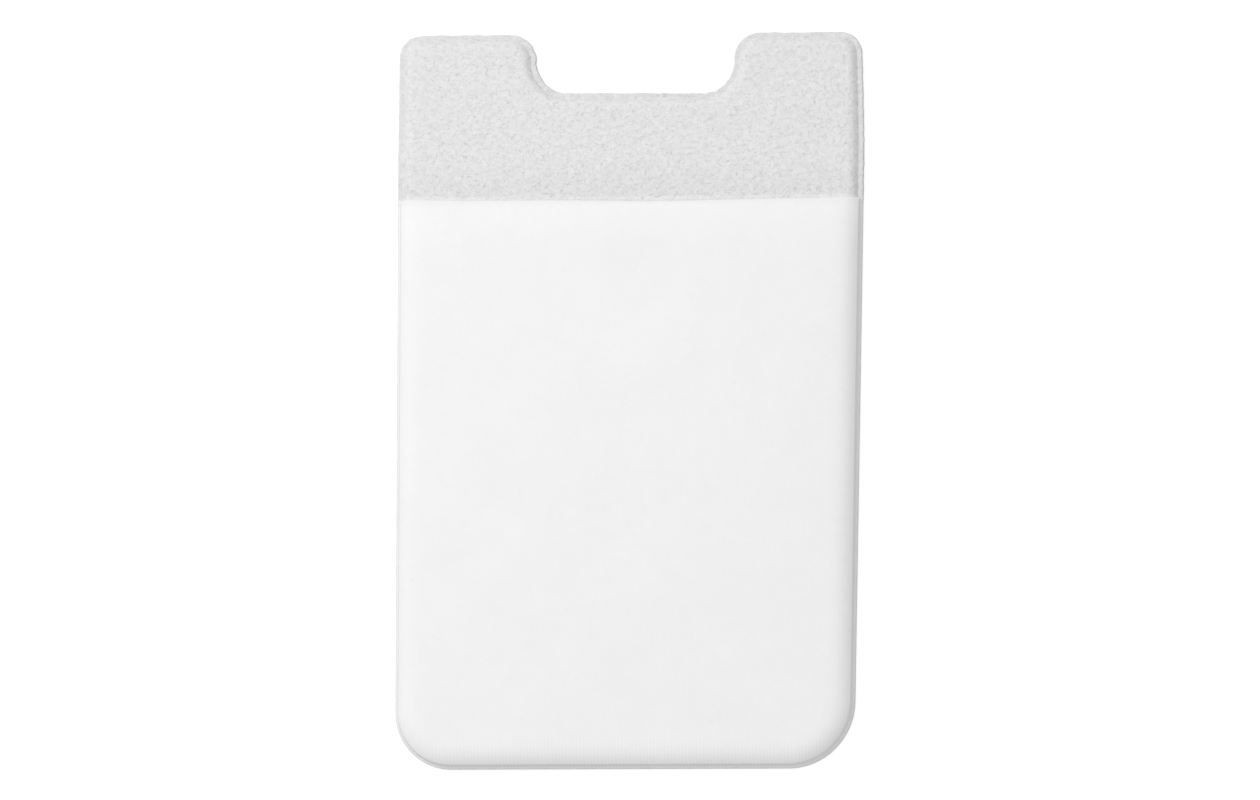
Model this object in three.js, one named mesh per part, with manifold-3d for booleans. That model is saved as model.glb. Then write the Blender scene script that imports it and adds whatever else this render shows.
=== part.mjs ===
// Stick-on card holder for the back of a phone, lying on its back.
// Millimetres: +X to the right, +Y towards the thumb notch, +Z out of the pocket's front.
// The origin is the centre of the outline, on the outer face of the release liner.
// The holder is a pressed laminate. Its core, facing and pocket are squeezed and welded together in a
// thin rim, and inside that rim each layer swells up over a rounded shoulder to its full thickness.
import * as THREE from "three";
import { mergeVertices, toCreasedNormals } from "three/addons/utils/BufferGeometryUtils.js";
import Module from "manifold-3d";

// The bank card that the pocket is made for, and the room it gets.
const cardWidth = 53.98;
const cardLength = 85.6;
const cardThickness = 0.76;
const cardSideClearance = 0.11;
const cardFaceClearance = 0.09;
const cardShows = 1.1; // how far the card stands above the notch floor, where a thumb pushes it

// Layers, from the back to the front, at full thickness and squeezed in the rim.
const linerThickness = 0.1;
const adhesiveThickness = 0.15;
const coreThickness = 0.85;
const coreSqueezed = 0.25;
const facingThickness = 0.35;
const facingSqueezed = 0.15;
const pocketThickness = 0.35;
const pocketSqueezed = 0.15;

// The rim and the shoulders inside it.
const weldRim = 0.5;
const pocketShoulder = 2.4;
const facingShoulder = 1.4;

// The outline.
const bottomRadius = 7.3;
const topRadius = 2.7;
const notchWidth = 25.2;
const notchDepth = 7.6;
const notchShift = 0.5; // the die cuts the notch a little right of centre
const notchLipRadius = 3.3;
const notchFloorRadius = 4.1;

// The pocket's mouth: a hem folded inwards, with a soft outer edge.
const pocketDepth = 73.2;
const hemDepth = 8;
const lipRun = 1.8;

// The sheets on the back.
const adhesiveMargin = 2;
const adhesiveRadius = 5;
const linerOverhang = 0.8;

// How finely curves are cut, and the least edge that a fillet leaves when it meets its wall.
const cornerSteps = 12;
const shoulderSteps = 8;
const leastEdge = 0.05;
const cutOverrun = 1; // how far a cutting solid runs past what it cuts
const creaseAngle = THREE.MathUtils.degToRad(35);

// Outline sizes that follow from the card.
const panelWidth = cardWidth + 2 * (cardSideClearance + pocketShoulder + weldRim);
const notchFloorHeight = weldRim + pocketShoulder + cardLength - cardShows;
const panelLength = notchFloorHeight + notchDepth;
const bottomEdge = -panelLength / 2;
const notchFloor = bottomEdge + notchFloorHeight;
const mouth = bottomEdge + pocketDepth;
const hemEnd = mouth - hemDepth;

// Where the press line of each layer stands in from the outline: a layer's shoulder starts inside
// the wall of the layer over it.
const pocketPress = weldRim;
const facingPress = pocketPress + pocketThickness;
const corePress = facingPress + facingThickness;
const facingShoulderEnd = facingPress + facingShoulder;
const pocketShoulderEnd = pocketPress + pocketShoulder;

// Heights above the underside of the core.
const facingRimTop = coreSqueezed + facingSqueezed;
const pocketRimTop = facingRimTop + pocketSqueezed;
const facingTop = coreThickness + facingThickness;
const hemRoof = facingTop + cardThickness + cardFaceClearance;
const slotRoof = hemRoof + pocketThickness;
const pocketTop = slotRoof + pocketThickness;

const wasm = await Module();
wasm.setup();

// Booleans: a closed geometry to a solid, and back.
function solid(geometry) {
  geometry.deleteAttribute("normal");
  geometry.deleteAttribute("uv");
  const merged = mergeVertices(geometry);
  const mesh = new wasm.Mesh({
    numProp: 3,
    vertProperties: merged.getAttribute("position").array,
    triVerts: new Uint32Array(merged.getIndex().array),
  });
  return new wasm.Manifold(mesh);
}

function geometryOf(body) {
  const mesh = body.getMesh();
  const geometry = new THREE.BufferGeometry();
  geometry.setAttribute("position", new THREE.BufferAttribute(mesh.vertProperties, 3));
  geometry.setIndex(new THREE.BufferAttribute(mesh.triVerts, 1));
  return geometry;
}

// A circular arc in degrees, clockwise where it ends below its start.
function arc(x, y, radius, from, to) {
  const start = THREE.MathUtils.degToRad(from);
  const end = THREE.MathUtils.degToRad(to);
  return new THREE.EllipseCurve(x, y, radius, radius, start, end, to < from).getPoints(cornerSteps);
}

// A fillet on an outward corner, as it becomes when its outline is moved inwards.
function insetRadius(radius, inset) {
  return Math.max(radius - inset, leastEdge);
}

// The two rounded bottom corners, from the left side round to the right side.
function bottomCorners(inset) {
  const right = panelWidth / 2 - inset;
  const bottom = bottomEdge + inset;
  const radius = insetRadius(bottomRadius, inset);
  return [
    ...arc(radius - right, bottom + radius, radius, 180, 270),
    ...arc(right - radius, bottom + radius, radius, 270, 360),
  ];
}

// The die-cut outline of the whole panel, moved inwards by inset.
function panelOutline(inset) {
  const right = panelWidth / 2 - inset;
  const top = panelLength / 2 - inset;
  const floor = notchFloor - inset;
  const notchRight = notchShift + notchWidth / 2 + inset;
  const notchLeft = notchShift - notchWidth / 2 - inset;
  const corner = insetRadius(topRadius, inset);
  const lip = insetRadius(notchLipRadius, inset);
  const hollow = Math.min(notchFloorRadius + inset, notchDepth - lip - leastEdge);
  return [
    ...bottomCorners(inset),
    ...arc(right - corner, top - corner, corner, 0, 90),
    ...arc(notchRight + lip, top - lip, lip, 90, 180),
    ...arc(notchRight - hollow, floor + hollow, hollow, 0, -90),
    ...arc(notchLeft + hollow, floor + hollow, hollow, -90, -180),
    ...arc(notchLeft - lip, top - lip, lip, 0, 90),
    ...arc(corner - right, top - corner, corner, 90, 180),
  ];
}

// The pocket's outline, moved inwards on its three welded sides and closed straight across at end.
function pocketOutline(inset, end) {
  const right = panelWidth / 2 - inset;
  return [new THREE.Vector2(-right, end), ...bottomCorners(inset), new THREE.Vector2(right, end)];
}

// A rounded shoulder as insets and heights: a quarter of an ellipse that rises steeply off the rim.
function shoulder(press, end, low, high) {
  return Array.from({ length: shoulderSteps + 1 }, (_, step) => {
    const turn = (step / shoulderSteps) * (Math.PI / 2);
    const inset = press + (end - press) * (1 - Math.cos(turn));
    return { inset, height: low + (high - low) * Math.sin(turn) };
  });
}

// A closed body through rings with equally many points, capped flat on its first and last ring.
function loft(rings) {
  const around = rings[0].outline.length;
  const positions = rings.flatMap(({ outline, height }) => outline.flatMap(({ x, y }) => [x, y, height]));
  const faces = [];
  for (let ring = 0; ring < rings.length - 1; ring += 1) {
    for (let point = 0; point < around; point += 1) {
      const here = ring * around + point;
      const next = ring * around + ((point + 1) % around);
      faces.push(here, next, next + around);
      faces.push(here, next + around, here + around);
    }
  }
  const cap = (ring, facesUp) => {
    const outline = rings[ring].outline;
    for (const [a, b, c] of THREE.ShapeUtils.triangulateShape(outline, [])) {
      const turnsLeft = THREE.ShapeUtils.area([outline[a], outline[b], outline[c]]) > 0;
      const corners = turnsLeft === facesUp ? [a, b, c] : [a, c, b];
      faces.push(...corners.map((corner) => ring * around + corner));
    }
  };
  cap(0, false);
  cap(rings.length - 1, true);
  const geometry = new THREE.BufferGeometry();
  geometry.setAttribute("position", new THREE.Float32BufferAttribute(positions, 3));
  geometry.setIndex(faces);
  return geometry;
}

function panelRings(levels) {
  return levels.map(({ inset, height }) => ({ outline: panelOutline(inset), height }));
}

function pocketRings(levels, end) {
  return levels.map(({ inset, height }) => ({ outline: pocketOutline(inset, end), height }));
}

// The core's front: the rim squeezed flat, then its shoulder. The facing is bonded all over it.
function coreFront() {
  return [
    { inset: 0, height: coreSqueezed },
    ...shoulder(corePress, facingShoulderEnd, coreSqueezed, coreThickness),
  ];
}

function foamCore() {
  return loft(panelRings([{ inset: 0, height: 0 }, ...coreFront()]));
}

function backFacing() {
  const front = [
    { inset: 0, height: facingRimTop },
    ...shoulder(facingPress, facingShoulderEnd, facingRimTop, facingTop),
  ];
  return loft(panelRings([...coreFront().reverse(), ...front]));
}

// The room under the pocket, from below the weld up to a roof, closed straight across at end.
function room(roof, end) {
  const levels = [
    { inset: facingPress, height: facingRimTop - cutOverrun },
    ...shoulder(facingPress, pocketShoulderEnd, facingRimTop, roof),
  ];
  return solid(loft(pocketRings(levels, end)));
}

// A bar across the whole panel with a profile drawn in Y and Z.
function crossBar(profile) {
  const length = panelWidth + 2 * cutOverrun;
  const bar = new THREE.ExtrudeGeometry(profile, {
    depth: length,
    bevelEnabled: false,
    curveSegments: cornerSteps,
  });
  const alongX = new THREE.Matrix4().makeBasis(
    new THREE.Vector3(0, 1, 0),
    new THREE.Vector3(0, 0, 1),
    new THREE.Vector3(1, 0, 0),
  );
  return solid(bar.applyMatrix4(alongX).translate(-length / 2, 0, 0));
}

// What lies behind the mouth and under its soft outer edge.
function behindLip() {
  const profile = new THREE.Shape();
  profile.moveTo(bottomEdge - cutOverrun, -cutOverrun);
  profile.lineTo(mouth, -cutOverrun);
  profile.lineTo(mouth, slotRoof);
  profile.absellipse(mouth - lipRun, slotRoof, lipRun, pocketThickness, 0, Math.PI / 2, false, 0);
  profile.lineTo(bottomEdge - cutOverrun, pocketTop);
  return crossBar(profile);
}

// The rounded underside of the fold, where a card is led in.
function leadIn() {
  const profile = new THREE.Shape();
  const run = pocketThickness;
  profile.moveTo(mouth + cutOverrun, slotRoof);
  profile.lineTo(mouth, slotRoof);
  profile.absellipse(mouth - run, slotRoof, run, pocketThickness, 0, -Math.PI / 2, true, 0);
  profile.lineTo(mouth - run, facingTop);
  profile.lineTo(mouth + cutOverrun, facingTop);
  return crossBar(profile);
}

// The pocket: one ply, welded down on three sides and folded inwards at the mouth. Behind the hem
// the room is one ply higher than under it.
function pocketFront() {
  const levels = [
    { inset: 0, height: facingRimTop },
    { inset: 0, height: pocketRimTop },
    ...shoulder(pocketPress, pocketShoulderEnd, pocketRimTop, pocketTop),
  ];
  const pressed = solid(loft(pocketRings(levels, mouth + cutOverrun))).intersect(behindLip());
  const beyond = mouth + cutOverrun;
  const entry = room(slotRoof, beyond).intersect(leadIn());
  const slot = room(slotRoof, hemEnd).add(room(hemRoof, beyond)).add(entry);
  return geometryOf(pressed.subtract(slot));
}

// A flat sheet on the back, below the notch, standing in from the outline by margin.
function backSheet(margin, thickness, radius) {
  const right = panelWidth / 2 - margin;
  const low = bottomEdge + margin;
  const high = notchFloor - margin;
  const outline = [
    ...arc(radius - right, low + radius, radius, 180, 270),
    ...arc(right - radius, low + radius, radius, 270, 360),
    ...arc(right - radius, high - radius, radius, 0, 90),
    ...arc(radius - right, high - radius, radius, 90, 180),
  ];
  return new THREE.ExtrudeGeometry(new THREE.Shape(outline), { depth: thickness, bevelEnabled: false });
}

function piece(name, geometry, color, roughness) {
  const material = new THREE.MeshStandardMaterial({ color, roughness, metalness: 0 });
  const mesh = new THREE.Mesh(toCreasedNormals(geometry, creaseAngle), material);
  mesh.name = name;
  return mesh;
}

// The layers that are pressed together, from the underside of the core up.
const panel = new THREE.Group();
panel.position.z = linerThickness + adhesiveThickness;
panel.add(
  piece("foam_core", foamCore(), "#e4e2de", 0.9),
  piece("back_facing", backFacing(), "#e2e2e2", 0.95),
  piece("pocket_front", pocketFront(), "#f1f1f1", 0.8),
);

const adhesive = piece(
  "adhesive_sheet",
  backSheet(adhesiveMargin, adhesiveThickness, adhesiveRadius),
  "#e9e7e0",
  0.35,
);
adhesive.position.z = linerThickness;

const liner = piece(
  "release_liner",
  backSheet(adhesiveMargin - linerOverhang, linerThickness, adhesiveRadius + linerOverhang),
  "#f3f0e6",
  0.45,
);

const cardHolder = new THREE.Group();
cardHolder.add(liner, adhesive, panel);

export default cardHolder;
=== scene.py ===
import math
import random
import bmesh
import bpy
from mathutils import Matrix, Vector, noise
from mathutils.bvhtree import BVHTree


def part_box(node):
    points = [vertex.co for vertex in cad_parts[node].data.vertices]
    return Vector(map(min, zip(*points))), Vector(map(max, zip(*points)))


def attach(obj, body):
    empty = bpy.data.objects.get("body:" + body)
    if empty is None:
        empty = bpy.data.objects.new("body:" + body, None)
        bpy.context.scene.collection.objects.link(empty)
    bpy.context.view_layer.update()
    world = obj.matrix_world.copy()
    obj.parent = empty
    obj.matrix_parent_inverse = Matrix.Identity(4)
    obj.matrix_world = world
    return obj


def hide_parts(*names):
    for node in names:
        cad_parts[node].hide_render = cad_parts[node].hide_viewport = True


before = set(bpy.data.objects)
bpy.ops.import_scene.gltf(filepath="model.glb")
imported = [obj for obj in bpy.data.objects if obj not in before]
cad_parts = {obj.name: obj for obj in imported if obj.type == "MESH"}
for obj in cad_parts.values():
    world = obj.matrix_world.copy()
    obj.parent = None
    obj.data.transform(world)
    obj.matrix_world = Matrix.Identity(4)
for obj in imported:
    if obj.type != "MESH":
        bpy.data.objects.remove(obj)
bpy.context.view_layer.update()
print("frame loaded:", sorted(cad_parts))

# Everything is modelled in millimetres in the frame of the part, and scaled to metres at the end.
mm = 0.001
coreBox = [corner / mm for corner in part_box("foam_core")]
facingBox = [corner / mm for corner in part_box("back_facing")]
pocketBox = [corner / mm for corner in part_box("pocket_front")]

# The press: heights above the lying face, and how far each layer's press line stands in.
press = {
    "underside": coreBox[0].z,
    "coreRimTop": coreBox[0].z + 0.25,
    "facingRimTop": coreBox[0].z + 0.4,
    "pocketRimTop": coreBox[0].z + 0.55,
    "coreTop": coreBox[1].z,
    "facingTop": facingBox[1].z,
    "pocketTop": pocketBox[1].z,
    "pocketPress": 0.3,
    "pocketFoot": 0.52,
    "pocketFootTop": coreBox[0].z + 1.1,
    "facingPress": 0.7,
    "corePress": 1.2,
    "facingShoulderEnd": 2.25,
    "pocketShoulderEnd": 3.7,
}

# The die-cut outline.
die = {
    "right": coreBox[1].x,
    "top": coreBox[1].y,
    "bottom": coreBox[0].y,
    "leftRadius": 7.35,
    "rightRadius": 8.55,
    "topRadius": 2.85,
    "notchShift": 0.45,
    "notchWidth": 25.5,
    "notchFloorFall": 0.25,  # mm that the right end of the notch's floor lies lower
    "notchDepth": 7.6,
    "notchLeftLip": 3.45,
    "notchRightLip": 3.3,
    "notchFloorRadius": 4.1,
    "mouthHeight": 73.2,  # mm from the bottom edge to the pocket's mouth
}

# How the die pinches the cut edge, where the facing lies bare and where the pocket is welded in too.
cutEdge = {
    "rings": [0.05, 0.1, 0.17, 0.3, 0.5],  # mm in from the outline, where the pinch needs points
    "bareRun": 0.2,
    "weldedRun": 0.55,
    "bareLeft": 0.4,  # share of the rim's height that is left at the very edge
    "weldedLeft": 0.28,
    "weldStart": 1,  # mm above the mouth where the weld begins, and over which it comes in
    "weldFade": 2,
}


# A tone written as sRGB hex, as the linear colour that a shader takes.
def tone(hexColour):
    def toLinear(share):
        return share / 12.92 if share <= 0.04045 else ((share + 0.055) / 1.055) ** 2.4

    channels = [int(hexColour[i : i + 2], 16) / 255 for i in (1, 3, 5)]
    return (*[toLinear(share) for share in channels], 1)


# Adds a node with its settings and its inputs, where a socket given as an input is linked.
def addNode(tree, kind, inputs=None, **settings):
    made = tree.nodes.new(kind)
    for name, value in settings.items():
        setattr(made, name, value)
    for socket, value in (inputs or {}).items():
        if isinstance(value, bpy.types.NodeSocket):
            tree.links.new(value, made.inputs[socket])
        else:
            made.inputs[socket].default_value = value
    return made


def newMaterial(name):
    material = bpy.data.materials.new(name)
    material.use_nodes = True
    material.node_tree.nodes.clear()
    return material, material.node_tree


def limited(value):
    return max(0, min(1, value))


# The round of a pressed shoulder: steepest at its foot, and level where it meets the face.
def shoulderHeight(inset, start, end, low, high, fullness=3):
    share = limited((inset - start) / (end - start))
    return low + (high - low) * (1 - (1 - share) ** fullness)


# Places for the points of a shoulder, closer together towards its steep foot.
def shoulderInsets(start, end, steps):
    return [start + (end - start) * (step / steps) ** 1.6 for step in range(1, steps + 1)]


# The die pinches the cut edge to a round, and to a slant where the pocket's ply is welded in too.
def pinch(inset, y):
    welded = limited((mouthY + cutEdge["weldStart"] - y) / cutEdge["weldFade"])
    run = cutEdge["bareRun"] + (cutEdge["weldedRun"] - cutEdge["bareRun"]) * welded
    left = cutEdge["bareLeft"] + (cutEdge["weldedLeft"] - cutEdge["bareLeft"]) * welded
    share = limited(1 - inset / run)
    rounded = math.sqrt(1 - share * share)
    slanted = 1 - share ** 1.5
    return left + (1 - left) * (rounded + (slanted - rounded) * welded)


def pinched(height, inset, y):
    return press["underside"] + (height - press["underside"]) * pinch(inset, y)


# Corners of an outline as x, y, fillet radius and fillet steps.
def panelCorners():
    right, top, bottom = die["right"], die["top"], die["bottom"]
    floor = top - die["notchDepth"]
    notchRight = die["notchShift"] + die["notchWidth"] / 2
    notchLeft = die["notchShift"] - die["notchWidth"] / 2
    return [
        (-right, bottom, die["leftRadius"], 20),
        (right, bottom, die["rightRadius"], 22),
        (right, top, die["topRadius"], 12),
        (notchRight, top, die["notchRightLip"], 14),
        (notchRight, floor - die["notchFloorFall"], die["notchFloorRadius"], 16),
        (notchLeft, floor, die["notchFloorRadius"], 16),
        (notchLeft, top, die["notchLeftLip"], 14),
        (-right, top, die["topRadius"], 12),
    ]


def pocketCorners(beyond):
    right, bottom = die["right"], die["bottom"]
    return [
        (-right, bottom, die["leftRadius"], 20),
        (right, bottom, die["rightRadius"], 22),
        (right, beyond, 1, 1),
        (-right, beyond, 1, 1),
    ]


mouthY = die["bottom"] + die["mouthHeight"]


# A flat face with filleted corners, stepped inwards in rings that remember how far in they lie.
def ringedFace(corners, insets):
    bm = bmesh.new()
    insetLayer = bm.verts.layers.float.new("inset")
    points = [bm.verts.new((x, y, 0)) for x, y, radius, steps in corners]
    bm.faces.new(points)
    for point, (x, y, radius, steps) in zip(points, corners):
        bmesh.ops.bevel(
            bm, geom=[point], offset=radius, offset_type="OFFSET", segments=steps,
            profile=0.5, affect="VERTICES", clamp_overlap=False, material=-1,
        )
    middle = bm.faces[:]
    reached = 0
    for inset in insets:
        bmesh.ops.inset_region(
            bm, faces=middle, thickness=inset - reached, depth=0,
            use_boundary=True, use_even_offset=True,
        )
        for vert in middle[0].verts:
            vert[insetLayer] = inset
        reached = inset
    return bm


def cutAlong(bm, axis, places):
    normal = Vector((1, 0, 0)) if axis == "x" else Vector((0, 1, 0))
    for place in places:
        everything = bm.verts[:] + bm.edges[:] + bm.faces[:]
        bmesh.ops.bisect_plane(
            bm, geom=everything, dist=0.001, plane_co=normal * place, plane_no=normal
        )


def evenly(low, high, pitch):
    steps = round((high - low) / pitch)
    return [low + (high - low) * step / steps for step in range(1, steps)]


# Thickens the flat rings to a closed body whose upper points are marked.
def thicken(bm):
    upperLayer = bm.verts.layers.float.new("upper")
    made = bmesh.ops.extrude_face_region(bm, geom=bm.faces[:])
    for part in made["geom"]:
        if isinstance(part, bmesh.types.BMVert):
            part[upperLayer] = 1
            part.co.z = 1


skew = {
    "widening": 0.00024,  # share of the width that each millimetre of height adds
    "wideningEnd": 30,
    "rightStart": 20,  # where the right tab begins to lean in, across and up
    "rightFoot": 34,
    "rightLean": 0.003,
}


# The real one is not quite square: it widens towards its top by a few tenths of a millimetre, and its
# right tab leans in again.
def settle(bm):
    for vert in bm.verts:
        vert.co.x *= 1 + skew["widening"] * min(vert.co.y, skew["wideningEnd"])
        beyond = max(0, vert.co.x - skew["rightStart"])
        vert.co.x -= skew["rightLean"] * max(0, vert.co.y - skew["rightFoot"]) * beyond


# Turns a mesh in millimetres into a smooth piece in metres.
def makePiece(bm, name):
    bmesh.ops.scale(bm, vec=(mm, mm, mm), verts=bm.verts[:])
    for face in bm.faces:
        face.smooth = True
    mesh = bpy.data.meshes.new(name)
    bm.to_mesh(mesh)
    bm.free()
    piece = bpy.data.objects.new(name, mesh)
    bpy.context.scene.collection.objects.link(piece)
    return piece


def finishPly(bm, name):
    creaseDegrees = 50
    bmesh.ops.remove_doubles(bm, verts=bm.verts[:], dist=0.004)
    settle(bm)
    bmesh.ops.recalc_face_normals(bm, faces=bm.faces[:])
    piece = makePiece(bm, name)
    piece.data.set_sharp_from_angle(angle=math.radians(creaseDegrees))
    return piece


def coreFront(inset):
    return shoulderHeight(
        inset, press["corePress"], press["facingShoulderEnd"],
        press["coreRimTop"], press["coreTop"],
    )


def facingFront(inset):
    return shoulderHeight(
        inset, press["facingPress"], press["facingShoulderEnd"],
        press["facingRimTop"], press["facingTop"],
    )


facing = {
    "pitch": 0.66,  # mm between the points of the ply, before the band is made finer
    "bandCuts": 2,  # extra cuts in each edge of the visible band
    "bandOverlap": 2,  # mm that the finer band runs on under the pocket's mouth
    "napDepth": 0.022,  # mm, how far the brushed clumps stand up
    "napSize": 0.75,  # mm across a clump
    "napSquash": 0.7,  # height of a clump as a share of its width
    "napBend": 0.5,
    "napBendSize": 1.7,
    "napDetail": 0.6,  # share and scale of the finer lumps on each clump
    "napDetailScale": 2.1,
    "rimNap": 0.35,  # share of the nap that is left on the crushed rim
    "swellDepth": 0.05,
    "swellSize": 9,
    "riseLimit": 0.06,
    "fray": 0.12,  # mm that the ragged cut edge wanders
    "fraySize": 0.75,
    "frayRun": 0.5,
    "frayStart": 0.5,
}

pocket = {
    "pitch": 0.55,
    "rimRings": [0.04, 0.1, 0.17, 0.24],  # mm in from the outline
    "wallRings": [0.38, 0.45],
    "mouthRows": [0.02, 0.06, 0.12, 0.19, 0.27, 0.35, 0.5, 0.75, 1.05, 1.4, 1.8, 2.3, 2.8],
    "beyondMouth": 4,  # mm of cloth that is made past the mouth and cut off there
    "hemDepth": 8,
    "hemStep": 0.04,  # mm to either side of the hem's end, over which its ply ends
    "ply": 0.35,
    "gap": 0.012,  # mm between the facing and the pocket's back, where they are closest
    "thinnest": 0.02,
    "crown": 0.6,  # mm that the middle stands above the shoulders
    "crownRun": 32,
    "crownFall": 0.5,  # share of the crown that is lost again towards the mouth
    "crownFallRun": 26,
    "lipDrop": 0.65,  # mm that the mouth is drawn down towards the facing
    "lipRun": 7,
    "ridge": 0.26,  # mm that the cloth stands up over the hem, and dips behind it
    "ridgeMiddle": (2, 3),  # mm to the right, and behind the mouth
    "ridgeReach": (13, 3.5),
    "dipMiddle": 12,
    "dipReach": 5,
    "mouthRise": 0.17,
    "sag": 0.24,  # mm that the middle of the mouth is pulled towards the bottom
    "sagMiddle": 4,
    "sagReach": 10,
    "leftLift": 0.22,
    "rightLift": 0.14,
    "liftReach": 6,
    "pullRun": 12,  # mm behind the mouth where the sag and the lifts have run out
    "foldRound": 0.7,  # mm over which the folded edge of the hem rounds down on to the facing
    "foldMiddle": 0.12,  # how high the fold's edge lies, as a share of the hem's thickness
    "swellDepth": 0.07,
    "swellSize": 13,
    "riseLimit": 0.06,
}


# Slow unevenness of a cloth that isn't held quite flat, about from -1 to 1.
def swell(x, y, size, seed):
    detail, scale = 0.4, 2.3
    broad = noise.noise(Vector((x / size, y / size, seed)))
    fine = noise.noise(Vector((x / size * scale, y / size * scale, seed + 7)))
    return broad + detail * fine


# The brushed nap lies in little clumps, which are drawn out and bent by a second noise.
def nap(x, y):
    size, bendSize = facing["napSize"], facing["napBendSize"]
    bendX = facing["napBend"] * noise.noise(Vector((x / bendSize, y / bendSize, 3)))
    bendY = facing["napBend"] * noise.noise(Vector((x / bendSize, y / bendSize, 11)))
    place = Vector(((x + bendX) / size, (y + bendY) / (facing["napSquash"] * size), 5))
    detail = noise.noise(place * facing["napDetailScale"])
    return noise.noise(place) + facing["napDetail"] * detail


# The knife leaves the brushed cloth's edge a little ragged, where no pocket is welded over it.
def fray(vert, inset):
    x, y = vert.co.x / facing["fraySize"], vert.co.y / facing["fraySize"]
    bare = limited(vert.co.y - mouthY - facing["frayStart"])
    wander = facing["fray"] * bare * limited(1 - inset / facing["frayRun"])
    vert.co.x += wander * noise.noise(Vector((x, y, 21)))
    vert.co.y += wander * noise.noise(Vector((x, y, 27)))


def makeFacing():
    insets = cutEdge["rings"] + [press["facingPress"]]
    insets += shoulderInsets(press["facingPress"], press["facingShoulderEnd"], 8)
    bm = ringedFace(panelCorners(), insets)
    cutAlong(bm, "x", evenly(-die["right"], die["right"], facing["pitch"]))
    cutAlong(bm, "y", evenly(die["bottom"], die["top"], facing["pitch"]))
    thicken(bm)
    insetLayer = bm.verts.layers.float["inset"]
    upperLayer = bm.verts.layers.float["upper"]
    bandStart = mouthY - facing["bandOverlap"]
    bandFaces = [
        face for face in bm.faces
        if all(vert[upperLayer] > 0.5 and vert.co.y > bandStart for vert in face.verts)
    ]
    bandEdges = list({edge for face in bandFaces for edge in face.edges})
    bmesh.ops.subdivide_edges(
        bm, edges=bandEdges, cuts=facing["bandCuts"], use_grid_fill=True
    )
    for vert in bm.verts:
        inset = vert[insetLayer]
        x, y = vert.co.x, vert.co.y
        fray(vert, inset)
        if vert[upperLayer] < 0.5:
            vert.co.z = pinched(coreFront(inset), inset, y)
            continue
        free = min(1, inset / press["facingShoulderEnd"])
        rise = facing["swellDepth"] * swell(x, y, facing["swellSize"], 2) * free
        if y > bandStart:
            held = facing["rimNap"] + (1 - facing["rimNap"]) * free
            rise += facing["napDepth"] * nap(x, y) * held
        vert.co.z = pinched(facingFront(inset) + min(rise, facing["riseLimit"]), inset, y)
    return finishPly(bm, "brushedFacing")


# How far the pocket's cloth runs on, beyond its place in plan, because it climbs the shoulder.
def shoulderSurplus():
    steps = 24
    start, end = press["pocketPress"], press["pocketShoulderEnd"]
    insets = [start] + shoulderInsets(start, end, steps)
    heights = [pocketFrontHeight(inset) for inset in insets]
    surplus = [0]
    for step in range(steps, 0, -1):
        run = insets[step] - insets[step - 1]
        rise = heights[step] - heights[step - 1]
        surplus.append(surplus[-1] + math.hypot(run, rise) - run)
    return list(zip(insets, reversed(surplus)))


# The pocket's front: a short wall out of the weld and the long soft shoulder, without the crown.
def pocketFrontHeight(inset):
    start, foot, end = press["pocketPress"], press["pocketFoot"], press["pocketShoulderEnd"]
    if inset < foot:
        return shoulderHeight(inset, start, foot, press["pocketRimTop"], press["pocketFootTop"], 1)
    top = press["pocketTop"] - pocket["crown"]
    return shoulderHeight(inset, foot, end, press["pocketFootTop"], top)


def crownHeight(x, y):
    across = max(0, 1 - (x / die["right"]) ** 2)
    along = 1 - (1 - limited((y - die["bottom"]) / pocket["crownRun"])) ** 2
    fall = pocket["crownFall"] * max(0, 1 - (mouthY - y) / pocket["crownFallRun"]) ** 2
    return pocket["crown"] * across * (along - fall)


# A smooth hump, 1 high in its middle and almost nothing at twice its reach.
def hump(place, middle, reach):
    return math.exp(-(((place - middle) / reach) ** 2))


# The doubled cloth of the hem is stiffer: in the middle it stands up a little and dips where it ends.
def hemWave(x, behind):
    (middleX, middleBehind), (reachX, reachBehind) = pocket["ridgeMiddle"], pocket["ridgeReach"]
    rise = hump(behind, middleBehind, reachBehind)
    dip = hump(behind, pocket["dipMiddle"], pocket["dipReach"])
    return pocket["ridge"] * hump(x, middleX, reachX) * (rise - dip)


# The share of its height over the weld that the front keeps near the mouth, where it is drawn down.
def lipShare(behind):
    drop = pocket["lipDrop"] * max(0, 1 - behind / pocket["lipRun"]) ** 2
    return 1 - drop / (press["pocketTop"] - press["facingRimTop"])


# The cloth's own flat coordinates in metres: its place in plan, moved outwards by what the shoulder
# takes up.
def layFlat(bm):
    flatLayer = bm.loops.layers.uv.new("flat")
    insetLayer = bm.verts.layers.float["inset"]
    surplus = shoulderSurplus()
    inside = die["right"] - die["leftRadius"]
    low = die["bottom"] + die["leftRadius"]

    def taken(inset):
        for (innerInset, innerTaken), (outerInset, outerTaken) in zip(surplus, surplus[1:]):
            if inset <= outerInset:
                share = (inset - innerInset) / (outerInset - innerInset)
                return innerTaken + (outerTaken - innerTaken) * max(0, share)
        return 0

    for face in bm.faces:
        for loop in face.loops:
            x, y = loop.vert.co.x, loop.vert.co.y
            outward = Vector((x - max(-inside, min(inside, x)), min(0, y - low)))
            if outward.length > 0:
                outward.normalize()
            moved = Vector((x, y)) + outward * taken(loop.vert[insetLayer])
            loop[flatLayer].uv = moved * mm


# The mouth's line: its middle has been pulled down, and it climbs where its ends are held in the weld.
def mouthPull(x):
    sag = pocket["sag"] * hump(x, pocket["sagMiddle"], pocket["sagReach"])
    leftEnd = pocket["leftLift"] * hump(x, -die["right"], pocket["liftReach"])
    rightEnd = pocket["rightLift"] * hump(x, die["right"], pocket["liftReach"])
    return pocket["mouthRise"] - sag + leftEnd + rightEnd


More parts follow.
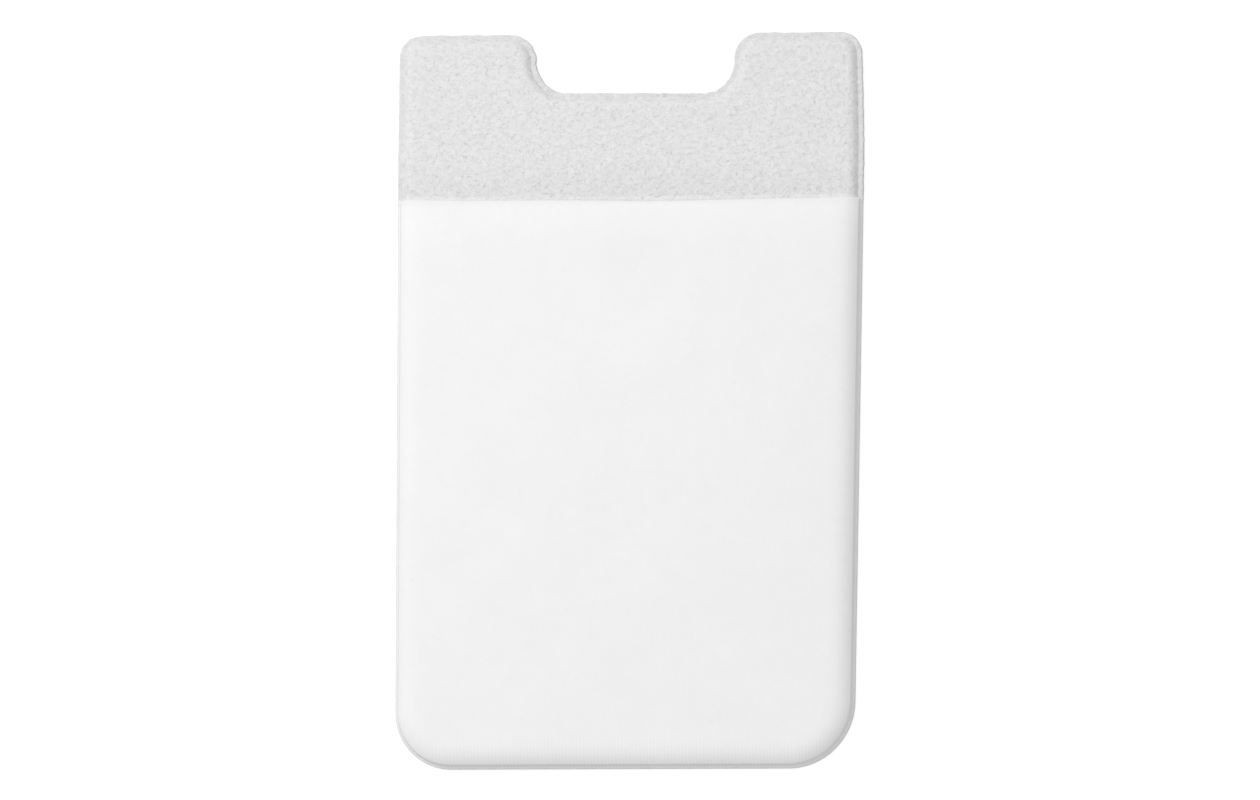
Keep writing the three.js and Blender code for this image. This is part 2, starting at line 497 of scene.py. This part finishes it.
def makePocket():
    insets = pocket["rimRings"] + [press["pocketPress"]]
    insets += pocket["wallRings"] + [press["pocketFoot"]]
    insets += shoulderInsets(press["pocketFoot"], press["pocketShoulderEnd"], 12)
    bm = ringedFace(pocketCorners(mouthY + pocket["beyondMouth"]), insets)
    cutAlong(bm, "x", evenly(-die["right"], die["right"], pocket["pitch"]))
    hemEnd = [pocket["hemDepth"] - pocket["hemStep"], pocket["hemDepth"] + pocket["hemStep"]]
    cutAlong(bm, "y", [mouthY - behind for behind in pocket["mouthRows"] + hemEnd])
    evenEnd = mouthY - pocket["mouthRows"][-1]
    cutAlong(bm, "y", evenly(die["bottom"], evenEnd, pocket["pitch"]))
    everything = bm.verts[:] + bm.edges[:] + bm.faces[:]
    bmesh.ops.bisect_plane(
        bm, geom=everything, dist=0.001,
        plane_co=(0, mouthY, 0), plane_no=(0, 1, 0), clear_outer=True,
    )
    thicken(bm)
    insetLayer = bm.verts.layers.float["inset"]
    upperLayer = bm.verts.layers.float["upper"]
    base = press["facingRimTop"]
    for vert in bm.verts:
        x, y, inset = vert.co.x, vert.co.y, vert[insetLayer]
        behind = mouthY - y
        free = min(1, inset / press["pocketShoulderEnd"])
        rise = pocket["swellDepth"] * swell(x, y, pocket["swellSize"], 4)
        rise = min(pocket["riseLimit"], rise) * free
        front = pocketFrontHeight(inset) + (crownHeight(x, y) + hemWave(x, behind)) * free
        front = base + (front + rise - base) * lipShare(behind)
        plies = 2 if behind < pocket["hemDepth"] else 1
        back = front - plies * pocket["ply"] * lipShare(behind)
        back = max(facingFront(inset) + pocket["gap"], back)
        height = front if vert[upperLayer] > 0.5 else min(back, front - pocket["thinnest"])
        if behind < pocket["foldRound"]:
            middle = back + pocket["foldMiddle"] * (front - back)
            share = 1 - max(behind, 0) / pocket["foldRound"]
            height = middle + (height - middle) * math.sqrt(max(0, 1 - share * share))
        vert.co.z = pinched(height, inset, y)
        vert.co.y = y + mouthPull(x) * max(0, 1 - behind / pocket["pullRun"])
    layFlat(bm)
    return finishPly(bm, "knitPocket")


def makeCore():
    pitch = 1.2
    insets = cutEdge["rings"] + [press["corePress"]]
    insets += shoulderInsets(press["corePress"], press["facingShoulderEnd"], 6)
    bm = ringedFace(panelCorners(), insets)
    cutAlong(bm, "x", evenly(-die["right"], die["right"], pitch))
    cutAlong(bm, "y", evenly(die["bottom"], die["top"], pitch))
    thicken(bm)
    insetLayer = bm.verts.layers.float["inset"]
    upperLayer = bm.verts.layers.float["upper"]
    for vert in bm.verts:
        inset = vert[insetLayer]
        upper = vert[upperLayer] > 0.5
        vert.co.z = pinched(coreFront(inset), inset, vert.co.y) if upper else press["underside"]
        fray(vert, inset)
    return finishPly(bm, "foamCore")


napFuzz = {
    "pitch": 0.55,  # mm from one strand's place to the next, before each is thrown off it
    "shapes": 14,
    "fromMouth": 0.2,
    "steepest": 0.5,  # least Z of the cloth's normal that still carries a strand
    "parts": 3,
    "overlap": 0.94,  # share of a part's length at which the next begins
    "radius": 0.016,  # mm; a real strand is half of this, and would not show
    "taper": 0.28,  # share of the radius that each part loses
    "length": (0.4, 0.95),
    "lean": (52, 80),  # degrees from the cloth's normal
    "dip": 16,
    "sink": 0.01,  # mm that a strand is rooted in the cloth
    "curl": 38,  # degrees that a strand may turn from one of its parts to the next
    "stray": 62,  # degrees off the cross direction, along which the cloth was brushed
    "seed": 11,
}


# One loose strand of the nap, three tapering parts that each turn a little from the last.
def makeStrand(dice, name):
    bm = bmesh.new()
    part = dice.uniform(*napFuzz["length"]) / napFuzz["parts"]
    place = Matrix.Rotation(math.radians(dice.uniform(*napFuzz["lean"])), 4, "Y")
    for step in range(napFuzz["parts"]):
        bmesh.ops.create_cone(
            bm, segments=3, cap_ends=True, depth=part,
            radius1=napFuzz["radius"] * (1 - napFuzz["taper"] * step),
            radius2=napFuzz["radius"] * (1 - napFuzz["taper"] * (step + 1)),
            matrix=place @ Matrix.Translation((0, 0, part / 2)),
        )
        turn = Matrix.Rotation(math.radians(dice.uniform(-1, 1) * napFuzz["curl"]), 4, "X")
        dip = Matrix.Rotation(math.radians(dice.uniform(0, napFuzz["dip"])), 4, "Y")
        place = place @ Matrix.Translation((0, 0, part * napFuzz["overlap"])) @ turn @ dip
    strand = bpy.data.meshes.new(name)
    bm.to_mesh(strand)
    bm.free()
    return strand


# Strands teased out of the facing all over the band.
def makeFuzz(ground):
    dice = random.Random(napFuzz["seed"])
    strands = [makeStrand(dice, "strand") for shape in range(napFuzz["shapes"])]
    points = [vert.co / mm for vert in ground.vertices]
    surface = BVHTree.FromPolygons(points, [polygon.vertices for polygon in ground.polygons])
    bm = bmesh.new()
    pitch = napFuzz["pitch"] * 1
    columns = evenly(-die["right"], die["right"], pitch)
    rows = evenly(mouthY + napFuzz["fromMouth"], die["top"], pitch)
    for x, y in [(x, y) for x in columns for y in rows]:
        offX = dice.uniform(-0.5, 0.5) * pitch
        offY = dice.uniform(-0.5, 0.5) * pitch
        above = Vector((x + offX, y + offY, 10))
        spot, normal, face, distance = surface.ray_cast(above, Vector((0, 0, -1)))
        if spot is None or normal.z < napFuzz["steepest"]:
            continue
        upright = normal.to_track_quat("Z", "Y").to_matrix().to_4x4()
        place = Matrix.Translation(spot - normal * napFuzz["sink"]) @ upright
        turn = dice.choice((0, 180)) + dice.uniform(-1, 1) * napFuzz["stray"]
        place = place @ Matrix.Rotation(math.radians(turn), 4, "Z")
        strand = dice.choice(strands)
        strand.transform(place)
        bm.from_mesh(strand)
        strand.transform(place.inverted())
    insetLayer = bm.verts.layers.float.new("inset")
    for vert in bm.verts:
        vert[insetLayer] = press["facingShoulderEnd"]
    for strand in strands:
        bpy.data.meshes.remove(strand)
    return makePiece(bm, "napFuzz")


facingPiece = makeFacing()
print("facing made:", len(facingPiece.data.polygons), "faces")
pocketPiece = makePocket()
print("pocket made:", len(pocketPiece.data.polygons), "faces")
fuzzPiece = makeFuzz(facingPiece.data)
print("nap fuzz made:", len(fuzzPiece.data.polygons), "faces")
corePiece = makeCore()
print("core made:", len(corePiece.data.polygons), "faces")


# Sums the parts as share * (value - 0.5) about a middle of 0.5, which keeps the mean tone in place.
def blended(tree, parts):
    total = 0.5
    for value, share in parts:
        centred = addNode(tree, "ShaderNodeMath", {0: value, 1: 0.5}, operation="SUBTRACT").outputs[0]
        total = addNode(
            tree, "ShaderNodeMath", {0: centred, 1: share, 2: total}, operation="MULTIPLY_ADD"
        ).outputs[0]
    return total


# Ends a material: the shade picks between its two tones, and the height gives its relief.
def endMaterial(tree, look, shade, height, surface, clamped=True):
    colour = addNode(
        tree, "ShaderNodeMix", {0: shade, 6: tone(look["dark"]), 7: tone(look["pale"])},
        data_type="RGBA", clamp_factor=clamped,
    ).outputs[2]
    bump = addNode(
        tree, "ShaderNodeBump", {"Height": height, "Strength": 1.0, "Distance": look["relief"]}
    ).outputs[0]
    shader = addNode(
        tree, "ShaderNodeBsdfPrincipled", {"Base Color": colour, "Normal": bump, **surface}
    )
    addNode(tree, "ShaderNodeOutputMaterial", {"Surface": shader.outputs["BSDF"]})


# Brushed polyester: a knit whose face is teased into a short matted nap, so it is dull and faintly
# clouded, with painted shade in the hollows between its clumps. Real nap fibres are 0.02 mm thick and
# would not show, so the clumps are drawn.
def brushedPolyester():
    look = {
        "dark": "#d1d1d1",  # painted shade in the hollows between the clumps
        "pale": "#f7f7f7",  # their tips
        "clumpWidth": 0.001,
        "strandWidth": 0.0005,
        "cloudWidth": 0.005,
        "bend": 0.0012,
        "stretch": (0.84, 1.12, 1),
        "creaseLength": 0.0026,
        "pitSpacing": 0.0024,
        "relief": 0.00011,
    }
    material, tree = newMaterial("brushedPolyester")
    place = addNode(tree, "ShaderNodeTexCoord").outputs["Object"]
    wander = addNode(
        tree, "ShaderNodeTexNoise", {"Vector": place, "Scale": 1 / look["clumpWidth"], "Detail": 1.0}
    )
    shift = addNode(
        tree, "ShaderNodeVectorMath",
        {0: wander.outputs["Color"], 1: (0.5, 0.5, 0.5)}, operation="SUBTRACT",
    )
    bent = addNode(
        tree, "ShaderNodeVectorMath",
        {0: shift.outputs[0], 1: [look["bend"]] * 3, 2: place}, operation="MULTIPLY_ADD",
    ).outputs[0]
    bent = addNode(
        tree, "ShaderNodeVectorMath", {0: bent, 1: look["stretch"]}, operation="MULTIPLY"
    ).outputs[0]
    clumps = addNode(
        tree, "ShaderNodeTexNoise",
        {"Vector": bent, "Scale": 1 / look["clumpWidth"], "Detail": 3.0, "Roughness": 0.62},
    ).outputs["Fac"]
    strands = addNode(
        tree, "ShaderNodeTexNoise",
        {"Vector": bent, "Scale": 1 / look["strandWidth"], "Detail": 2.0, "Distortion": 0.8},
    ).outputs["Fac"]
    clouds = addNode(
        tree, "ShaderNodeTexNoise", {"Vector": place, "Scale": 1 / look["cloudWidth"], "Detail": 2.0}
    ).outputs["Fac"]
    # A crease is where the bent noise passes its middle value, where a second noise lets it show. Its
    # line is painted darker: painted shade in the crease.
    ridge = addNode(
        tree, "ShaderNodeTexNoise",
        {"Vector": bent, "Scale": 1 / look["creaseLength"], "Detail": 1.0, "Distortion": 0.6},
    ).outputs["Fac"]
    offMiddle = addNode(tree, "ShaderNodeMath", {0: ridge, 1: 0.5}, operation="SUBTRACT").outputs[0]
    offMiddle = addNode(tree, "ShaderNodeMath", {0: offMiddle}, operation="ABSOLUTE").outputs[0]
    thin = addNode(
        tree, "ShaderNodeMapRange",
        {"Value": offMiddle, "From Min": 0.0, "From Max": 0.022, "To Min": 0.0, "To Max": 0.5},
    ).outputs[0]
    shown = addNode(
        tree, "ShaderNodeMapRange",
        {"Value": clouds, "From Min": 0.56, "From Max": 0.66, "To Min": 0.5, "To Max": 0.0},
    ).outputs[0]
    creases = addNode(tree, "ShaderNodeMath", {0: thin, 1: shown}, operation="MAXIMUM").outputs[0]
    # A few pits between the clumps are painted dark: painted shade down in them.
    pits = addNode(tree, "ShaderNodeTexVoronoi", {"Vector": place, "Scale": 1 / look["pitSpacing"]})
    pick = addNode(tree, "ShaderNodeSeparateColor", {0: pits.outputs["Color"]}).outputs[0]
    reach = addNode(
        tree, "ShaderNodeMapRange",
        {"Value": pick, "From Min": 0.6, "From Max": 1.0, "To Min": 0.0, "To Max": 0.055},
    ).outputs[0]
    off = addNode(
        tree, "ShaderNodeMath", {0: pits.outputs["Distance"], 1: reach}, operation="SUBTRACT"
    ).outputs[0]
    pitShade = addNode(
        tree, "ShaderNodeMapRange",
        {"Value": off, "From Min": 0.0, "From Max": 0.02, "To Min": 0.0, "To Max": 0.5},
    ).outputs[0]
    # The crushed rim is painted darker, partly the crushed cloth's own tone and partly painted shade
    # beside the shoulder.
    inset = addNode(tree, "ShaderNodeAttribute", attribute_name="inset").outputs["Fac"]
    rimEnd = press["facingPress"]
    rimToneAndShade = addNode(
        tree, "ShaderNodeMapRange",
        {"Value": inset, "From Min": rimEnd - 0.25, "From Max": rimEnd + 0.25,
         "To Min": 0.36, "To Max": 0.5},
    ).outputs[0]
    # Darker in a band from 1.2 to 6 mm above the mouth. Right beside the mouth the nap is painted
    # lighter: painted light set against the shadow under the pocket's edge.
    along = addNode(tree, "ShaderNodeSeparateXYZ", {0: place}).outputs["Y"]
    darkerAboveMouth, paintedLightAtMouth = [
        addNode(
            tree, "ShaderNodeMapRange",
            {"Value": along, "From Min": (mouthY + low) * mm, "From Max": (mouthY + high) * mm,
             "To Min": level, "To Max": 0.5},
            interpolation_type="SMOOTHSTEP",
        ).outputs[0]
        for low, high, level in ((1.2, 6, 0.42), (0.15, 0.9, 0.82))
    ]
    height = blended(tree, [(clumps, 1.0), (strands, 0.55), (creases, 0.35)])
    shade = blended(
        tree,
        [(clumps, 0.3), (strands, 0.64), (clouds, 0.08), (creases, 0.25), (pitShade, 1.1),
         (darkerAboveMouth, 1.0), (paintedLightAtMouth, 1.0), (rimToneAndShade, 1.0)],
    )
    surface = {
        "Roughness": 0.95, "Specular IOR Level": 0.15, "Sheen Weight": 0.12, "Sheen Roughness": 0.6,
    }
    endMaterial(tree, look, shade, height, surface)
    return material


# Warp-knit polyester and elastane: a smooth bright white cloth with fine ribs down the pocket, soft
# clouding from its uneven stretch, and a few faint pills and specks.
def warpKnit():
    look = {
        "dark": "#ebebeb",  # between the threads
        "pale": "#fafafa",
        "ribPitch": 0.00046,  # real wales are half this, and would not show
        "stitchPitch": 0.0004,
        "cloudWidth": 0.006,
        "slubWidth": 0.0011,
        "pillSpacing": 0.0035,
        "relief": 0.000004,
    }
    material, tree = newMaterial("warpKnit")
    flat = addNode(tree, "ShaderNodeUVMap", uv_map="flat").outputs[0]
    split = addNode(tree, "ShaderNodeSeparateXYZ", {0: flat})
    place = addNode(tree, "ShaderNodeTexCoord").outputs["Object"]
    across = addNode(
        tree, "ShaderNodeMath",
        {0: split.outputs["X"], 1: math.pi / look["ribPitch"]}, operation="MULTIPLY",
    ).outputs[0]
    rib = addNode(tree, "ShaderNodeMath", {0: across}, operation="SINE").outputs[0]
    rib = addNode(tree, "ShaderNodeMath", {0: rib}, operation="ABSOLUTE").outputs[0]
    # Near the bottom's shoulder the ribs are painted with stronger shade, painted shade standing in for
    # the light that grazes them there.
    ribShadeNearShoulder = addNode(
        tree, "ShaderNodeMapRange",
        {"Value": split.outputs["Y"], "From Min": (die["bottom"] + 1) * mm,
         "From Max": (die["bottom"] + 6) * mm, "To Min": 0.32, "To Max": 0.03},
    ).outputs[0]
    ribShade = addNode(tree, "ShaderNodeMath", {0: rib, 1: 0.5}, operation="SUBTRACT").outputs[0]
    ribShade = addNode(
        tree, "ShaderNodeMath", {0: ribShade, 1: ribShadeNearShoulder, 2: 0.5}, operation="MULTIPLY_ADD"
    ).outputs[0]
    # The loops lean: each rib's stitches run down from its two sides to its middle.
    along = addNode(
        tree, "ShaderNodeMath",
        {0: split.outputs["Y"], 1: 2 * math.pi / look["stitchPitch"], 2: rib}, operation="MULTIPLY_ADD",
    ).outputs[0]
    stitch = addNode(tree, "ShaderNodeMath", {0: along}, operation="SINE").outputs[0]
    stitch = addNode(
        tree, "ShaderNodeMath", {0: stitch, 1: 0.5, 2: 0.5}, operation="MULTIPLY_ADD"
    ).outputs[0]
    clouds = addNode(
        tree, "ShaderNodeTexNoise",
        {"Vector": place, "Scale": 1 / look["cloudWidth"], "Detail": 4.0, "Roughness": 0.6},
    ).outputs["Fac"]
    slub = addNode(
        tree, "ShaderNodeTexNoise",
        {"Vector": place, "Scale": 1 / look["slubWidth"], "Detail": 2.0, "Roughness": 0.6},
    ).outputs["Fac"]
    pills = addNode(tree, "ShaderNodeTexVoronoi", {"Vector": place, "Scale": 1 / look["pillSpacing"]})
    near = addNode(
        tree, "ShaderNodeMapRange",
        {"Value": pills.outputs["Distance"], "From Min": 0.03, "From Max": 0.11, "To Min": 0.0,
         "To Max": 0.5},
    ).outputs[0]
    pick = addNode(tree, "ShaderNodeSeparateColor", {0: pills.outputs["Color"]}).outputs[0]
    chosen = addNode(tree, "ShaderNodeMath", {0: pick, 1: 0.3}, operation="GREATER_THAN").outputs[0]
    specks = addNode(
        tree, "ShaderNodeMath", {0: near, 1: chosen}, operation="ADD", use_clamp=True
    ).outputs[0]
    specks = addNode(tree, "ShaderNodeMath", {0: specks, 1: 0.5}, operation="MINIMUM").outputs[0]
    height = blended(tree, [(rib, 1.0), (stitch, 0.5), (slub, 1.2)])
    # The knit is painted a little lighter from 5.4 mm to 2.4 mm behind the mouth, within the hem's two
    # plies.
    lighterBehindMouth = addNode(
        tree, "ShaderNodeMapRange",
        {"Value": split.outputs["Y"], "From Min": (mouthY - 5.4) * mm,
         "From Max": (mouthY - 2.4) * mm, "To Min": 0.5, "To Max": 1.0},
        interpolation_type="SMOOTHSTEP",
    ).outputs[0]
    # The fold of the hem rounds down on to the facing, and its very edge is painted greyer there:
    # painted shade.
    uneven = addNode(
        tree, "ShaderNodeMath", {0: slub, 1: 0.0014, 2: split.outputs["Y"]}, operation="MULTIPLY_ADD"
    ).outputs[0]
    foldShade = addNode(
        tree, "ShaderNodeMapRange",
        {"Value": uneven, "From Min": (mouthY - 0.2) * mm, "From Max": (mouthY + 0.7) * mm,
         "To Min": 0.5, "To Max": 0.0},
        interpolation_type="SMOOTHSTEP",
    ).outputs[0]
    inset = addNode(tree, "ShaderNodeAttribute", attribute_name="inset").outputs["Fac"]
    # The welded rim is painted a little darker, partly the fused cloth's own grey and partly painted
    # shade in the groove at the pocket's wall.
    welded = addNode(
        tree, "ShaderNodeMapRange",
        {"Value": inset, "From Min": press["pocketPress"], "From Max": press["pocketFoot"],
         "To Min": 0.0, "To Max": 0.5},
    ).outputs[0]
    # Along the cut edge the knit is painted grey in an uneven line, partly the cut and scorched thread
    # ends and partly painted shade along the edge.
    frayed = addNode(
        tree, "ShaderNodeMath", {0: slub, 1: -0.3, 2: 0.15}, operation="MULTIPLY_ADD"
    ).outputs[0]
    frayed = addNode(tree, "ShaderNodeMath", {0: inset, 1: frayed}, operation="ADD").outputs[0]
    edgeGreyAndShade = addNode(
        tree, "ShaderNodeMapRange",
        {"Value": frayed, "From Min": 0.02, "From Max": 0.14, "To Min": -0.5, "To Max": 0.5},
    ).outputs[0]
    shade = blended(
        tree,
        [(welded, 0.15), (edgeGreyAndShade, 1.1), (ribShade, 1.0), (stitch, 0.03), (clouds, 0.35), (slub, 0.25),
         (specks, 0.45), (lighterBehindMouth, 0.05), (foldShade, 0.7)],
    )
    surface = {"Roughness": 0.85, "Specular IOR Level": 0.2}
    endMaterial(tree, look, shade, height, surface, clamped=False)
    return material


# Closed-cell foam, crushed at the rim: fine round cells on its cut edge, dull and slightly warm.
def closedCellFoam():
    look = {"dark": "#d8d6d1", "pale": "#eceae6", "cellWidth": 0.00025, "relief": 0.00004}
    material, tree = newMaterial("closedCellFoam")
    place = addNode(tree, "ShaderNodeTexCoord").outputs["Object"]
    # The hollow of each cell is painted darker, painted shade, and is also lowered in the relief.
    cells = addNode(
        tree, "ShaderNodeTexVoronoi", {"Vector": place, "Scale": 1 / look["cellWidth"]}
    ).outputs["Distance"]
    endMaterial(tree, look, cells, cells, {"Roughness": 0.8, "Specular IOR Level": 0.3})
    return material


# Acrylic transfer adhesive: a clear film over its tissue, so it is glossy, milky and faintly fibrous.
def acrylicAdhesive():
    look = {"dark": "#dedbd0", "pale": "#f2f0e9", "tissueWidth": 0.0012, "relief": 0.00002}
    material, tree = newMaterial("acrylicAdhesive")
    place = addNode(tree, "ShaderNodeTexCoord").outputs["Object"]
    tissue = addNode(
        tree, "ShaderNodeTexNoise",
        {"Vector": place, "Scale": 1 / look["tissueWidth"], "Detail": 4.0, "Roughness": 0.65,
         "Distortion": 1.5},
    ).outputs["Fac"]
    endMaterial(tree, look, tissue, tissue, {"Roughness": 0.28})
    return material


# Siliconised glassine: dense cream paper with a cloudy look-through and a soft, waxy shine.
def glassinePaper():
    look = {
        "dark": "#e6dfcc",
        "pale": "#fbf8f0",
        "pulpWidth": 0.0035,
        "fibreWidth": 0.0008,
        "relief": 0.000015,
    }
    material, tree = newMaterial("glassinePaper")
    place = addNode(tree, "ShaderNodeTexCoord").outputs["Object"]
    pulp = addNode(
        tree, "ShaderNodeTexNoise",
        {"Vector": place, "Scale": 1 / look["pulpWidth"], "Detail": 6.0, "Roughness": 0.6},
    ).outputs["Fac"]
    fibres = addNode(
        tree, "ShaderNodeTexNoise",
        {"Vector": place, "Scale": 1 / look["fibreWidth"], "Detail": 3.0, "Distortion": 2.5},
    ).outputs["Fac"]
    shade = blended(tree, [(pulp, 0.9), (fibres, 0.5)])
    endMaterial(tree, look, shade, shade, {"Roughness": 0.42})
    return material


def dress(node, material):
    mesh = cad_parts[node].data
    mesh.materials.clear()
    mesh.materials.append(material)


facingPiece.data.materials.append(brushedPolyester())
fuzzPiece.data.materials.append(facingPiece.data.materials[0])
pocketPiece.data.materials.append(warpKnit())
corePiece.data.materials.append(closedCellFoam())
dress("adhesive_sheet", acrylicAdhesive())
dress("release_liner", glassinePaper())
print("materials made")


for piece, node, slot in (
    (facingPiece, "back_facing", "brushed_facing"),
    (pocketPiece, "pocket_front", "pocket_knit"),
    (corePiece, "foam_core", "foam"),
):
    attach(piece, "root")
    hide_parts(node)
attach(fuzzPiece, "root")


# The camera looks down on the lying holder from a little right of it and below it.
camera = {
    "target": (0.00018, 0.0001, 0),
    "leanRight": 8.14,  # degrees off the vertical, towards +X
    "leanUp": -7.15,
    "roll": 0.62,
    "distance": 2.0,
    "focalPixels": 15590,
    "frameWidth": 1260,
}


def makeCamera():
    toEye = Vector((
        math.tan(math.radians(camera["leanRight"])),
        math.tan(math.radians(camera["leanUp"])),
        1,
    )).normalized()
    across = Vector((0, 1, 0)).cross(toEye).normalized()
    up = toEye.cross(across)
    turn = Matrix.Rotation(math.radians(camera["roll"]), 3, toEye)
    axes = Matrix((turn @ across, turn @ up, toEye)).transposed()
    data = bpy.data.cameras.new("camera")
    data.sensor_width = 36
    data.lens = data.sensor_width * camera["focalPixels"] / camera["frameWidth"]
    data.clip_start = 0.1
    data.clip_end = 20
    eye = bpy.data.objects.new("camera", data)
    stand = Vector(camera["target"]) + toEye * camera["distance"]
    eye.matrix_world = Matrix.Translation(stand) @ axes.to_4x4()
    bpy.context.scene.collection.objects.link(eye)
    bpy.context.scene.camera = eye


makeCamera()

# A white sky with one round softbox from the upper left, and a floor that is white to the camera.
studio = {
    "skyStrength": 0.68,
    "lampWatts": 1.875,
    "lampPlace": (-0.331, 0.269, 0.5225),
    "lampSize": 0.3375,
    "floorTone": "#aaaaaa",
    "floorGlow": 0.78,
    "floorSize": 4,
    "floorDrop": 0.00003,  # metres below the holder, so that the two faces don't flicker
}


def makeStudio():
    scene = bpy.context.scene
    world = bpy.data.worlds.new("studioSky")
    scene.world = world
    world.use_nodes = True
    tree = world.node_tree
    tree.nodes.clear()
    path = addNode(tree, "ShaderNodeLightPath")
    seen = addNode(
        tree, "ShaderNodeMath",
        {0: path.outputs["Is Camera Ray"], 1: path.outputs["Is Glossy Ray"]}, operation="MAXIMUM",
    )
    seen = addNode(
        tree, "ShaderNodeMath",
        {0: seen.outputs[0], 1: path.outputs["Is Transmission Ray"]}, operation="MAXIMUM",
    )
    white = tone("#ffffff")
    sky = addNode(tree, "ShaderNodeBackground", {"Color": white, "Strength": studio["skyStrength"]})
    backdrop = addNode(tree, "ShaderNodeBackground", {"Color": white, "Strength": 1})
    mixed = addNode(
        tree, "ShaderNodeMixShader",
        {0: seen.outputs[0], 1: sky.outputs[0], 2: backdrop.outputs[0]},
    )
    addNode(tree, "ShaderNodeOutputWorld", {"Surface": mixed.outputs[0]})

    lampData = bpy.data.lights.new("softbox", "AREA")
    lampData.shape = "DISK"
    lampData.size = studio["lampSize"]
    lampData.energy = studio["lampWatts"]
    lamp = bpy.data.objects.new("softbox", lampData)
    lamp.location = studio["lampPlace"]
    lamp.rotation_euler = (-Vector(studio["lampPlace"])).to_track_quat("-Z", "Y").to_euler()
    lamp.visible_camera = False
    scene.collection.objects.link(lamp)

    bm = bmesh.new()
    bmesh.ops.create_grid(bm, x_segments=8, y_segments=8, size=studio["floorSize"])
    bmesh.ops.translate(bm, vec=(0, 0, -studio["floorDrop"]), verts=bm.verts[:])
    floorMesh = bpy.data.meshes.new("floor")
    bm.to_mesh(floorMesh)
    bm.free()
    floor = bpy.data.objects.new("floor", floorMesh)
    scene.collection.objects.link(floor)
    material, tree = newMaterial("paperSweep")
    path = addNode(tree, "ShaderNodeLightPath")
    glow = addNode(
        tree, "ShaderNodeMath",
        {0: path.outputs["Is Camera Ray"], 1: studio["floorGlow"]}, operation="MULTIPLY",
    )
    matt = addNode(tree, "ShaderNodeBsdfDiffuse", {"Color": tone(studio["floorTone"])})
    bright = addNode(tree, "ShaderNodeEmission", {"Color": white, "Strength": glow.outputs[0]})
    both = addNode(tree, "ShaderNodeAddShader", {0: matt.outputs[0], 1: bright.outputs[0]})
    addNode(tree, "ShaderNodeOutputMaterial", {"Surface": both.outputs[0]})
    floorMesh.materials.append(material)


makeStudio()
bpy.context.scene.view_settings.view_transform = "Standard"
print("studio made")
